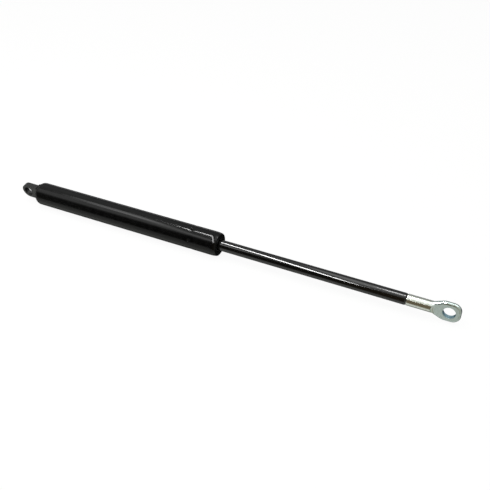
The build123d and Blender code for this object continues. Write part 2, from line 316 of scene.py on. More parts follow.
    def tint(
        self, tree: Tree, look: dict, share: Source, tint_hex: str, dulling: float,
        blend: str = "MIX",
    ) -> None:
        """Gives a share of the surface another colour and more roughness.

        Args:
            tree: the material's nodes.
            look: the shader's inputs, whose colour and roughness are changed.
            share: 0 where nothing changes, up to 1.
            tint_hex: the other colour.
            dulling: the roughness that is added.
            blend: how the Mix node lays the other colour on.
        """
        mixed = add_node(tree, "Mix", {
            "data_type": "RGBA", "blend_type": blend,
            0: share, MIX_A: look["Base Color"], MIX_B: linear(tint_hex),
        })
        look["Base Color"] = mixed.outputs[MIX_OUT]
        look["Roughness"] = add_node(tree, "Math", {
            "operation": "MULTIPLY_ADD", 0: share, 1: dulling, 2: look["Roughness"],
        })


@dataclass(frozen=True)
class PlatedFinish(Finish):
    """Zinc plate: bright where the bar was drawn, dull where it was pressed flat."""

    press_mm: Span = (404.0, 409.0)
    press_hex: str = "#e9f5fa"
    press_dulling: float = 0.06
    hole_place_mm: float = 420.0
    hole_radius_mm: float = 5.1
    # The hole's wall is painted darker and bluer: painted shade in the bore, on a thinner
    # plate
    hole_shade_hex: str = "#a3c4cf"
    hole_dulling: float = 0.22
    hole_fade: Span = (1.02, 1.06)

    def treat(self, tree: Tree, grain: Source, look: dict) -> None:
        """Dulls the pressed blade, darkens the wall of its hole with painted shade, and
        rubs the edges.

        Args:
            tree: the material's nodes.
            grain: the fine pattern that breaks the rubbed line up.
            look: the shader's inputs, whose colour and roughness are changed.
        """
        spot = add_node(tree, "TexCoord").outputs["Object"]
        along = add_node(tree, "SeparateXYZ", {"Vector": spot}).outputs["X"]
        press = [place / MM_PER_M for place in self.press_mm]
        pressed = add_node(tree, "MapRange", {FROM: press, "Value": along})
        flat = add_node(tree, "Mapping", {
            "Location": (-self.hole_place_mm / MM_PER_M, 0.0, 0.0),
            "Scale": (1.0, 0.0, 1.0), "Vector": spot,
        })
        away = add_node(tree, "VectorMath", {"operation": "LENGTH", 0: flat})
        radius = self.hole_radius_mm / MM_PER_M
        ends = {FROM: [radius * share for share in self.hole_fade], TO: (1.0, 0.0)}
        in_hole = add_node(tree, "MapRange", {**ends, "Value": away.outputs["Value"]})
        self.tint(tree, look, pressed, self.press_hex, self.press_dulling, "MULTIPLY")
        # Painted shade on the hole's wall: darker and bluer, and rougher
        self.tint(tree, look, in_hole, self.hole_shade_hex, self.hole_dulling)
        super().treat(tree, grain, look)


# Stoved black paint on drawn tube: a soft sheen, with the faint waviness of a thin coat
BLACK_PAINT = Finish(
    "stoved_black_paint", Slot.TUBE_PAINT, ior=1.33,
    light_hex="#080808", dark_hex="#040404", worn_hex="#2b2a28",
    roughness_ends=(0.11, 0.15),
    mottle_mm=6.0, grain_mm=1.4, grain_height_mm=0.0004, scratch_height_mm=0.0002,
)
# The same paint on a sawn and tumbled plate: duller and a little paler
PLATE_PAINT = Finish(
    "stoved_black_paint_on_plate", Slot.TUBE_PAINT, ior=1.52,
    light_hex="#161615", dark_hex="#0e0e0d", worn_hex="#343330",
    roughness_ends=(0.24, 0.32),
    mottle_mm=3.0, grain_mm=0.6, grain_height_mm=0.004, scratch_height_mm=0.001,
)
# Nitrided and polished bar: a mirror-like, slightly warm black oxide, with polishing
# lines around it
NITRIDED_STEEL = Finish(
    "nitrided_polished_steel", Slot.ROD_COAT, ior=1.63,
    light_hex="#090807", dark_hex="#050504", worn_hex="#3a3733", worn_share=0.7,
    roughness_ends=(0.07, 0.1), stretch=(0.3, 2.0, 2.0),
    mottle_mm=9.0, grain_mm=0.8, grain_height_mm=0.0003, scratch_height_mm=0.0003,
)
# Zinc electroplate: pale, slightly yellow-green, with its passivation's clouds
ZINC_PLATE = PlatedFinish(
    "zinc_electroplate", Slot.ZINC_PLATE, metallic=1.0,
    light_hex="#f6fbf3", dark_hex="#e2e6da", worn_hex="#b9b8b2", worn_share=0.6,
    roughness_ends=(0.14, 0.2),
    mottle_mm=1.6, grain_mm=0.5, grain_height_mm=0.002, scratch_height_mm=0.001,
)
# Pressed steel washers: grey, with fine scratches
PLAIN_STEEL = Finish(
    "pressed_steel", Slot.PLAIN_STEEL, metallic=1.0,
    light_hex="#a3a29d", dark_hex="#83817b", worn_hex="#c6c4be",
    roughness_ends=(0.28, 0.4),
    mottle_mm=2.0, grain_mm=0.4, grain_height_mm=0.004, scratch_height_mm=0.002,
)
# Moulded nitrile rubber: dull black with a dusty bloom
NITRILE_RUBBER = Finish(
    "nitrile_rubber", Slot.NITRILE_RUBBER,
    light_hex="#161616", dark_hex="#0c0c0c", worn_hex="#2c2b2a", worn_share=0.7,
    roughness_ends=(0.55, 0.75),
    mottle_mm=1.5, grain_mm=0.3, grain_height_mm=0.01,
)
# Glass-filled nylon guide bushes: dark grey with a grain of fibres
GUIDE_PLASTIC = Finish(
    "glass_filled_nylon", Slot.GUIDE_PLASTIC, ior=1.53,
    light_hex="#2b2b2a", dark_hex="#1d1d1d", worn_hex="#4a4947",
    roughness_ends=(0.45, 0.6),
    mottle_mm=2.0, grain_mm=0.25, grain_height_mm=0.01,
)
# Acetal piston ring: off-white and waxy
RING_PLASTIC = Finish(
    "acetal", Slot.RING_PLASTIC, ior=1.48,
    light_hex="#dcd8c8", dark_hex="#c9c4b1", worn_hex="#aaa692", worn_share=0.6,
    roughness_ends=(0.35, 0.5),
    mottle_mm=2.0, grain_mm=0.3, grain_height_mm=0.004,
)
# Sintered bronze bearing liner: brown-gold with fine pores
LINER_BRONZE = Finish(
    "sintered_bronze", Slot.LINER_BRONZE, metallic=1.0,
    light_hex="#a97e48", dark_hex="#7f5c33", worn_hex="#c79a5e",
    roughness_ends=(0.35, 0.5),
    mottle_mm=1.5, grain_mm=0.25, grain_height_mm=0.008,
)
# Sintered iron piston: dark grey and grainy
SINTERED_IRON = Finish(
    "sintered_iron", Slot.SINTERED_IRON, metallic=1.0,
    light_hex="#5a5854", dark_hex="#3f3d3a", worn_hex="#807d77",
    roughness_ends=(0.45, 0.6),
    mottle_mm=1.5, grain_mm=0.25, grain_height_mm=0.012,
)


def select_only(piece: Piece) -> None:
    """Deselects everything, then selects one piece and makes it the active one.

    Args:
        piece: the piece.
    """
    bpy.ops.object.select_all(action="DESELECT")
    piece.select_set(True)
    bpy.context.view_layer.objects.active = piece


def add_round(
    centre: Place, radius: float, length: float, turn: Place, sides: int
) -> Piece:
    """Adds a cylinder, as an object of its own or into the mesh that is being edited.

    Args:
        centre: its middle.
        radius: its radius.
        length: its length.
        turn: ALONG_X or ALONG_Y.
        sides: how many sides stand for its round.

    Returns:
        The object that holds it.
    """
    if bpy.context.mode == "OBJECT":
        bpy.ops.object.select_all(action="DESELECT")
    bpy.ops.mesh.primitive_cylinder_add(
        vertices=sides, radius=radius, depth=length, location=centre, rotation=turn
    )
    return bpy.context.active_object


def on_faces(a: Vector, b: Vector, thickness: float) -> bool:
    """Says whether an edge lies on one of the two faces of a plate across Y."""
    return abs(abs(a.y) - thickness / 2) < FACE_NEAR and abs(a.y - b.y) < FACE_NEAR


def box_mm(node: str) -> tuple[Vector, Vector]:
    """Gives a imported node's lowest and highest corners in millimetres."""
    low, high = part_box(node)
    return low * MM_PER_M, high * MM_PER_M


@dataclass
class Bench:
    """Modelling steps on one piece, in millimetres."""

    name: str
    piece: Piece | None = None

    def take(self, piece: Piece) -> None:
        """Puts a new primitive's place into its mesh and lays it on the bench.

        Args:
            piece: the primitive.
        """
        select_only(piece)
        bpy.ops.object.transform_apply()
        piece.name = self.name
        piece.data.name = self.name
        self.piece = piece

    def add_bar(self, back: float, front: float, radius: float, sides: int) -> None:
        """Adds a round bar along the axis, from back to front, with flat ends."""
        middle = ((back + front) / 2, 0.0, 0.0)
        self.take(add_round(middle, radius, front - back, ALONG_X, sides))

    def edit(self) -> None:
        """Opens the piece in edit mode, with nothing else selected."""
        select_only(self.piece)
        bpy.ops.object.mode_set(mode="EDIT")

    def close(self) -> None:
        """Goes back to object mode."""
        bpy.ops.object.mode_set(mode="OBJECT")

    def pick_all(self) -> None:
        """Selects the whole piece."""
        bpy.ops.mesh.select_all(action="SELECT")

    def pick_faces(self, test: PairTest) -> None:
        """Selects the faces whose centre and normal pass a test, and no others.

        Args:
            test: takes a face's centre and normal.
        """
        bpy.ops.mesh.select_all(action="DESELECT")
        bpy.ops.mesh.select_mode(type="FACE")
        mesh = bmesh.from_edit_mesh(self.piece.data)
        for face in mesh.faces:
            if test(face.calc_center_median(), face.normal):
                face.select_set(True)
        bmesh.update_edit_mesh(self.piece.data)

    def pick_edges(self, test: PairTest, sharp_deg: float = 0.0) -> None:
        """Selects the edges whose two ends pass a test, and no others.

        Args:
            test: takes the places of an edge's two ends.
            sharp_deg: an edge is only taken where its faces turn by more than this.
        """
        bpy.ops.mesh.select_all(action="DESELECT")
        bpy.ops.mesh.select_mode(type="EDGE")
        mesh = bmesh.from_edit_mesh(self.piece.data)
        sharp = math.radians(sharp_deg)
        for edge in mesh.edges:
            start, end = (vertex.co for vertex in edge.verts)
            if test(start, end) and edge.calc_face_angle(math.pi) >= sharp:
                edge.select_set(True)
        bmesh.update_edit_mesh(self.piece.data)

    def pick_cap(self, place: float, facing: float) -> None:
        """Selects the flat cap at one place along the axis, facing +1 or -1."""
        self.pick_faces(
            lambda centre, normal: abs(centre.x - place) < PLACE_NEAR
            and normal.x * facing > FACING
            and math.hypot(centre.y, centre.z) < PLACE_NEAR
        )

    def bevel(self, offset: float, segments: int, profile: float = 0.5) -> None:
        """Rounds the selected edges with a number of facets."""
        bpy.ops.mesh.bevel(offset=offset, segments=segments, profile=profile)

    def round_ring(
        self, place: float, radius: float, offset: float, segments: int
    ) -> None:
        """Rounds the ring of edges at one place and radius.

        Args:
            place: where the ring is on the axis.
            radius: the ring's radius.
            offset: how far the rounding reaches on each side of the edge.
            segments: how many facets stand for the round.
        """

        def on_ring(point: Vector) -> bool:
            """Says whether a point lies on the ring."""
            away = math.hypot(point.y, point.z) - radius
            return abs(point.x - place) < PLACE_NEAR and abs(away) < RING_NEAR

        self.pick_edges(lambda a, b: on_ring(a) and on_ring(b))
        self.bevel(offset, segments)

    def carry_cap(self, stations: list[Span], place: float, radius: float) -> None:
        """Extrudes the selected cap from place to place, resized to each radius.

        Args:
            stations: each next place along the axis, with the radius there.
            place: where the cap is now.
            radius: its radius now.
        """
        for next_place, next_radius in stations:
            bpy.ops.mesh.extrude_region_move(
                TRANSFORM_OT_translate={"value": (next_place - place, 0, 0)}
            )
            share = next_radius / radius
            bpy.ops.transform.resize(
                value=(1, share, share), center_override=(next_place, 0, 0)
            )
            place, radius = next_place, next_radius

    def add_rings(self, places: list[float]) -> None:
        """Cuts rings of edges around the whole piece.

        Args:
            places: where each ring is on the axis.
        """
        for place in places:
            self.pick_all()
            bpy.ops.mesh.bisect(plane_co=(place, 0, 0), plane_no=(1, 0, 0))

    def turn(self, turn_deg: float) -> None:
        """Turns the whole piece about the axis."""
        self.pick_all()
        bpy.ops.transform.rotate(
            value=-math.radians(turn_deg), orient_axis="X", center_override=ORIGIN
        )

    def cut(self, other: Piece, what: Cut = Cut.AWAY) -> None:
        """Cuts another mesh away from the piece, or joins it on, and removes the other.

        Args:
            other: the other mesh.
            what: what it does to the piece.
        """
        select_only(self.piece)
        bpy.ops.object.modifier_add(type="BOOLEAN")
        modifier = self.piece.modifiers[-1]
        modifier.operation = what.value
        modifier.solver = "EXACT"
        modifier.object = other
        bpy.ops.object.modifier_apply(modifier=modifier.name)
        bpy.data.objects.remove(other)

    def smooth(self, angle_deg: float) -> None:
        """Shades the piece smooth up to an angle, with flat faces kept flat.

        Args:
            angle_deg: faces that turn by less than this are shaded as one round.
        """
        select_only(self.piece)
        bpy.ops.object.shade_smooth_by_angle(angle=math.radians(angle_deg))
        bpy.ops.object.modifier_add(type="WEIGHTED_NORMAL")
        modifier = self.piece.modifiers[-1]
        modifier.keep_sharp = True
        modifier.weight = FACE_WEIGHT
        bpy.ops.object.modifier_apply(modifier=modifier.name)

    def deliver(self, body: Body, finish: Finish, node: str) -> None:
        """Brings the piece to metres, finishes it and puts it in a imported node's place.

        Args:
            body: the body that it rides on.
            finish: the finish of its whole surface.
            node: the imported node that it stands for.
        """
        self.piece.scale = (1 / MM_PER_M,) * 3
        select_only(self.piece)
        bpy.ops.object.transform_apply()
        self.piece.data.materials.clear()
        self.piece.data.materials.append(finish.material())
        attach(self.piece, body.value)
        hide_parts(node)
        log.info("%s stands for %s", self.name, node)


@dataclass
class PressureTube:
    """The black tube: closed behind, rolled over in front, dimpled over its guides."""

    wall: float = 1.5
    base_wall: float = 2.5
    shoulder_radius: float = 5.5
    roll_length: float = 3.0
    roll_drop: float = 0.7
    rim_round: float = 2.3
    face_round: float = 0.56
    lip_round: float = 0.4
    lip_wall: float = 1.5
    mouth_radius: float = 6.3
    dimple_place: float = 189.0
    dimple_count: int = 6
    dimple_first_angle: float = 42.0
    # Each dip of a wall: how deep it is, and how far from its middle the wall follows
    wide_dip: Span = (0.16, 4.6)
    pit_dip: Span = (0.9, 1.5)
    inner_dip: Span = (0.6, 2.2)
    # Rings of edges for the dimples: close in the middle, wider apart around it
    close_ring_step: float = 0.2
    close_rings: int = 9
    wide_ring_step: float = 0.4
    wide_rings_start: float = 2.0
    wide_rings: int = 8
    # Rings that end the roundings' shading, and how far from them they stand
    shoulder_margin: float = 0.4
    rim_margin: float = 0.3
    sides: int = 288
    shoulder_facets: int = 20
    floor_facets: int = 8
    rim_facets: int = 14
    face_facets: int = 6
    lip_facets: int = 5

    def build(self) -> None:
        """Models the tube and puts it in its place."""
        bench = Bench("tube_shell")
        low, high = box_mm("pressure_tube")
        back, front, radius = low.x, high.x, high.y
        rim = front - self.roll_length
        face_radius = radius - self.roll_drop
        bore = radius - self.wall
        lip_back = front - self.lip_wall
        floor = back + self.base_wall
        bench.add_bar(back, rim, radius, self.sides)
        bench.edit()
        bench.pick_cap(rim, 1)
        stations = [
            (front, face_radius), (front, self.mouth_radius),
            (lip_back, self.mouth_radius), (lip_back, bore), (floor, bore),
        ]
        bench.carry_cap(stations, rim, radius)
        floor_round = self.shoulder_radius - self.wall
        bench.round_ring(back, radius, self.shoulder_radius, self.shoulder_facets)
        bench.round_ring(floor, bore, floor_round, self.floor_facets)
        bench.round_ring(rim, radius, self.rim_round, self.rim_facets)
        bench.round_ring(front, face_radius, self.face_round, self.face_facets)
        bench.round_ring(front, self.mouth_radius, self.lip_round, self.lip_facets)
        shoulder_end = back + self.shoulder_radius + self.shoulder_margin
        bench.add_rings([shoulder_end, rim - self.rim_round - self.rim_margin])
        self.punch(bench, radius, bore)
        bench.close()
        bench.smooth(ROUND_DEG)
        bench.deliver(Body.CYLINDER, BLACK_PAINT, "pressure_tube")

    def punch(self, bench: Bench, radius: float, bore: float) -> None:
        """Dents the wall at each dimple: a small pit in a wide shallow dent.

        Args:
            bench: the bench that holds the tube.
            radius: the tube's outer radius.
            bore: its inner radius.
        """
        steps = range(-self.close_rings, self.close_rings + 1)
        near = [self.close_ring_step * step for step in steps]
        far = [
            side * (self.wide_rings_start + self.wide_ring_step * step)
            for step in range(self.wide_rings)
            for side in (-1, 1)
        ]
        bench.add_rings([self.dimple_place + away for away in near + far])
        turn = 2 * math.pi / self.dimple_count
        first = math.radians(self.dimple_first_angle)
        for index in range(self.dimple_count):
            angle = first + index * turn
            outward = Vector((0, math.cos(angle), math.sin(angle)))
            self.dent(bench, outward, radius, self.wide_dip)
            self.dent(bench, outward, radius, self.pit_dip)
            self.dent(bench, outward, bore, self.inner_dip)

    def dent(self, bench: Bench, outward: Vector, radius: float, dip: Span) -> None:
        """Pushes one spot of a wall towards the axis, fading out around it.

        Args:
            bench: the bench that holds the tube.
            outward: the direction from the axis to the spot.
            radius: the radius of the wall.
            dip: how far the spot goes in, and how far from it the wall follows.
        """
        depth, reach = dip
        centre = outward * radius + Vector((self.dimple_place, 0, 0))
        mesh = bmesh.from_edit_mesh(bench.piece.data)
        for vertex in mesh.verts:
            if abs(math.hypot(vertex.co.y, vertex.co.z) - radius) > self.wall / 2:
                continue
            away = (vertex.co - centre).length
            if away < reach:
                share = 1 - away / reach
                vertex.co -= outward * (depth * share * share * (3 - 2 * share))
        bmesh.update_edit_mesh(bench.piece.data)


@dataclass
class RodAssembly:
    """The glossy rod with its hidden spigots at both ends."""

    shank_back: float = 187.8
    shank_front: float = 386.0
    spigot_radius: float = 3.25
    thread_radius: float = 4.0
    end_chamfer: float = 1.2
    end_drop: float = 0.8
    tip_chamfer: float = 0.6
    edge_round: float = 0.15
    edge_facets: int = 4
    ring_margin: float = 0.5
    sides: int = 160

    def build(self) -> None:
        """Models the rod and puts it in its place."""
        bench = Bench("polished_rod")
        low, high = box_mm("piston_rod")
        back, front, radius = self.shank_back, self.shank_front, high.y
        chamfer_place = front - self.end_chamfer
        bench.add_bar(back, chamfer_place, radius, self.sides)
        bench.edit()
        bench.pick_cap(back, -1)
        spigot = [(back, self.spigot_radius), (low.x, self.spigot_radius)]
        bench.carry_cap(spigot, back, radius)
        bench.pick_cap(chamfer_place, 1)
        thread = [
            (front, radius - self.end_drop), (front, self.thread_radius),
            (high.x - self.tip_chamfer, self.thread_radius),
            (high.x, self.thread_radius - self.tip_chamfer),
        ]
        bench.carry_cap(thread, chamfer_place, radius)
        bench.round_ring(chamfer_place, radius, self.edge_round, self.edge_facets)
        bench.add_rings([back + self.ring_margin, chamfer_place - self.ring_margin])
        bench.close()
        bench.smooth(ROUND_DEG)
        bench.deliver(Body.ROD, NITRIDED_STEEL, "piston_rod")


@dataclass
class TubeEye:
    """The flat drilled tab at the tube's closed end, with the weld around its root."""

    turn_deg: float = 9.0
    width: float = 14.4
    thickness: float = 5.2
    hole_radius: float = 4.5
    root: float = 17.5
    edge_round: float = 0.35
    edge_facets: int = 4
    weld_leg: float = 1.2
    weld_toe: float = 0.3
    weld_facets: int = 5
    weld_profile: float = 0.4
    weld_cuts: int = 3
    weld_smooth_deg: float = 60.0
    tube_back: float = 13.0
    tube_radius: float = 11.0
    tube_length: float = 20.0
    tube_sides: int = 192
    shoulder_radius: float = 5.5
    shoulder_facets: int = 20
    sides: int = 96

    def build(self) -> None:
        """Models the tab and its weld and puts them in their places."""
        self.tab()
        self.weld()

    def tube_form(self) -> Piece:
        """Makes the outside of the tube's closed end.

        Returns:
            The cutter.
        """
        bench = Bench("tube_end_form")
        back, radius = self.tube_back, self.tube_radius
        bench.add_bar(back, back + self.tube_length, radius, self.tube_sides)
        bench.edit()
        bench.round_ring(back, radius, self.shoulder_radius, self.shoulder_facets)
        bench.close()
        return bench.piece

    def tab(self) -> None:
        """Models the tab: a round plate, squared at the tube, drilled and cut to it."""
        bench = Bench("welded_tab")
        plate = add_round(ORIGIN, self.width / 2, self.thickness, ALONG_Y, self.sides)
        bench.take(plate)
        bench.edit()
        bench.pick_all()
        bpy.ops.mesh.bisect(
            plane_co=ORIGIN, plane_no=(1, 0, 0), use_fill=True, clear_outer=True
        )
        bench.pick_faces(
            lambda centre, normal: normal.x > FACING and abs(centre.x) < PLACE_NEAR
        )
        bpy.ops.mesh.extrude_region_move(
            TRANSFORM_OT_translate={"value": (self.root, 0, 0)}
        )
        bench.close()
        drill = self.thickness * 2
        bench.cut(add_round(ORIGIN, self.hole_radius, drill, ALONG_Y, self.sides))
        bench.edit()
        bench.pick_edges(
            lambda a, b: on_faces(a, b, self.thickness)
            and min(a.x, b.x) < self.root - PLACE_NEAR,
            CUT_DEG,
        )
        bench.bevel(self.edge_round, self.edge_facets)
        bench.turn(self.turn_deg)
        bench.close()
        bench.cut(self.tube_form())
        bench.smooth(ROUND_DEG)
        bench.deliver(Body.CYLINDER, PLATE_PAINT, "tube_eye")

    def weld(self) -> None:
        """Models the weld bead: a collar around the tab's root, sloping to the tube."""
        bench = Bench("weld_bead")
        back = self.tube_back - self.weld_leg
        front = self.tube_back + self.shoulder_radius / 2
        bpy.ops.object.select_all(action="DESELECT")
        across, up = (side + 2 * self.weld_leg for side in (self.thickness, self.width))
        middle = ((back + front) / 2, 0.0, 0.0)
        size = (front - back, across, up)
        bpy.ops.mesh.primitive_cube_add(size=1, location=middle, scale=size)
        bench.take(bpy.context.active_object)
        bench.edit()
        bench.pick_edges(lambda a, b: abs(a.x - b.x) > self.weld_leg / 2)
        bench.bevel(self.weld_leg, self.weld_facets)
        bench.pick_edges(lambda a, b: max(a.x, b.x) < back + PLACE_NEAR)
        bench.bevel(self.weld_leg - self.weld_toe, self.weld_facets, self.weld_profile)
        bench.pick_all()
        bpy.ops.mesh.subdivide(number_cuts=self.weld_cuts)
        bench.turn(self.turn_deg)
        bench.close()
        bench.cut(self.tube_form())
        bench.smooth(self.weld_smooth_deg)
        bench.deliver(Body.CYLINDER, BLACK_PAINT, "eye_weld")


@dataclass
class RodEye:
    """The plated eye: a round socket, pressed flat to a drilled, wide-headed blade."""

    eye_place: float = 420.0
    socket_radius: float = 4.85
    back_round: float = 0.4
    back_facets: int = 4
    blade_thickness: float = 4.0
    head_radius: float = 9.2
    head_setback: float = 3.0
    head_end_reach: float = 9.2
    corner_radius: float = 7.0
    hole_radius: float = 5.1
    hole_margin: float = 0.5
    hole_round: float = 0.3
    hole_facets: int = 4
    press_place: float = 413.9
    press_radius: float = 8.4
    press_round: float = 2.0
    press_facets: int = 8
    root_place: float = 404.5
    edge_round: float = 1.8
    edge_facets: int = 10
    hull_deg: float = 0.4
    thread_radius: float = 4.05
    thread_depth: float = 12.05
    thread_overshoot: float = 1.0
    thread_sides: int = 64
    sides: int = 128

    def build(self) -> None:
        """Models the eye and puts it in its place."""
        bench = Bench("plated_eye")
        back = box_mm("rod_eye")[0].x
        bench.add_bar(back, self.press_place, self.socket_radius, self.sides)
        bench.edit()
        bench.round_ring(back, self.socket_radius, self.back_round, self.back_facets)
        bench.close()
        bench.cut(self.blade(), Cut.JOIN)
        for side in (-1, 1):
            bench.cut(self.press(side))
        thread = Bench("thread_hole")
        start, end = back - self.thread_overshoot, back + self.thread_depth
        thread.add_bar(start, end, self.thread_radius, self.thread_sides)
        bench.cut(thread.piece)
        bench.smooth(ROUND_DEG)
        bench.deliver(Body.ROD, ZINC_PLATE, "rod_eye")

    def press(self, side: int) -> Piece:
        """Makes one press die, a round punch with a rounded edge.

        Args:
            side: -1 for the seen face, 1 for the other.

        Returns:
            The cutter.
        """
        half = self.blade_thickness / 2
        depth = self.socket_radius
        bench = Bench("press_die")
        centre = (self.press_place, side * (half + depth / 2), 0.0)
        bench.take(add_round(centre, self.press_radius, depth, ALONG_Y, self.sides))
        bench.edit()
        face = side * half
        bench.pick_edges(lambda a, b: max(abs(a.y - face), abs(b.y - face)) < FACE_NEAR)
        bench.bevel(self.press_round, self.press_facets)
        bench.close()
        return bench.piece

    def blade(self) -> Piece:
        """Makes the blade: the hull of its head and root, drilled, with eased edges.

        Returns:
            The blade.
        """
        half = self.blade_thickness / 2
        root_half = math.sqrt(self.socket_radius**2 - half**2)
        corner_place = self.eye_place + self.head_end_reach - self.corner_radius
        corner_side = self.head_radius - self.corner_radius
        bench = Bench("blade")
        bench.take(self.disc(self.eye_place - self.head_setback, 0.0, self.head_radius))
        bench.edit()
        for side in (-1, 1):
            self.disc(corner_place, side * corner_side, self.corner_radius)
        bpy.ops.mesh.primitive_cube_add(
            size=1,
            location=(self.root_place + half, 0, 0),
            scale=(2 * half, self.blade_thickness, 2 * root_half),
        )
        bench.pick_all()
        bpy.ops.mesh.convex_hull()
        bench.pick_all()
        bpy.ops.mesh.dissolve_limited(angle_limit=math.radians(self.hull_deg))
        bench.close()
        centre = (self.eye_place, 0.0, 0.0)
        drill = self.blade_thickness * 2
        bench.cut(add_round(centre, self.hole_radius, drill, ALONG_Y, self.sides))
        bench.edit()
        for hole, offset, facets in (
            (True, self.hole_round, self.hole_facets),
            (False, self.edge_round, self.edge_facets),
        ):
            bench.pick_edges(
                lambda a, b: self.on_rim(a, b) and self.on_hole(a) == hole, CUT_DEG
            )
            bench.bevel(offset, facets)
        bench.close()
        return bench.piece

    def disc(self, place: float, height: float, radius: float) -> Piece:
        """Adds a disc as thick as the blade, at a place along the axis and a height."""
        centre = (place, 0.0, height)
        return add_round(centre, radius, self.blade_thickness, ALONG_Y, self.sides)

    def on_rim(self, a: Vector, b: Vector) -> bool:
        """Says whether an edge lies on one of the blade's two faces, off its root."""
        off_root = max(a.x, b.x) > self.root_place + PLACE_NEAR
        return off_root and on_faces(a, b, self.blade_thickness)

    def on_hole(self, point: Vector) -> bool:
        """Says whether a point lies at the hole."""
        away = math.hypot(point.x - self.eye_place, point.z)
        return away < self.hole_radius + self.hole_margin


@dataclass
class InnerPieces:
    """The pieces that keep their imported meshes, each with the finish of what it is."""

    finishes: tuple[tuple[Finish, tuple[str, ...]], ...] = (
        (PLAIN_STEEL, ("end_washer", "seal_support", "pressure_washer", "piston_nut")),
        (PLAIN_STEEL, ("front_piston_washer", "metering_disc", "rear_piston_washer")),
        (NITRILE_RUBBER, ("wiper_seal", "guide_o_ring", "main_seal")),
        (NITRILE_RUBBER, ("seal_energiser", "rebound_bumper")),
        (GUIDE_PLASTIC, ("outer_guide", "inner_guide")),
        (LINER_BRONZE, ("guide_liner",)),
        (RING_PLASTIC, ("piston_ring",)),
        (SINTERED_IRON, ("piston",)),
    )

    def dress(self) -> None:
        """Gives each node its finish."""
        for finish, nodes in self.finishes:
            for node in nodes:
                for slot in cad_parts[node].material_slots:
                    slot.material = finish.material()
                log.info("%s is finished in %s", node, finish.name)


@dataclass(frozen=True)
class Lamp:
    """An area lamp that faces down, with its place and size in metres.

    Radiance is how bright its face looks, where 1 is white. Lamps that overlap hang at
    different heights, so that each adds its light to a reflection.
    """

    name: str
    place: Place
    size: Span
    radiance: float
    turn_deg: float = 9.0

    def light(self) -> None:
        """Adds the lamp to the scene."""
        bpy.ops.object.select_all(action="DESELECT")
        turn = (0.0, 0.0, math.radians(self.turn_deg))
        bpy.ops.object.light_add(type="AREA", location=self.place, rotation=turn)
        lamp = bpy.context.active_object
        lamp.name = self.name
        lamp.data.shape = "RECTANGLE"
        lamp.data.size, lamp.data.size_y = self.size
        lamp.data.energy = self.radiance * math.pi * self.size[0] * self.size[1]
        lamp.visible_camera = False


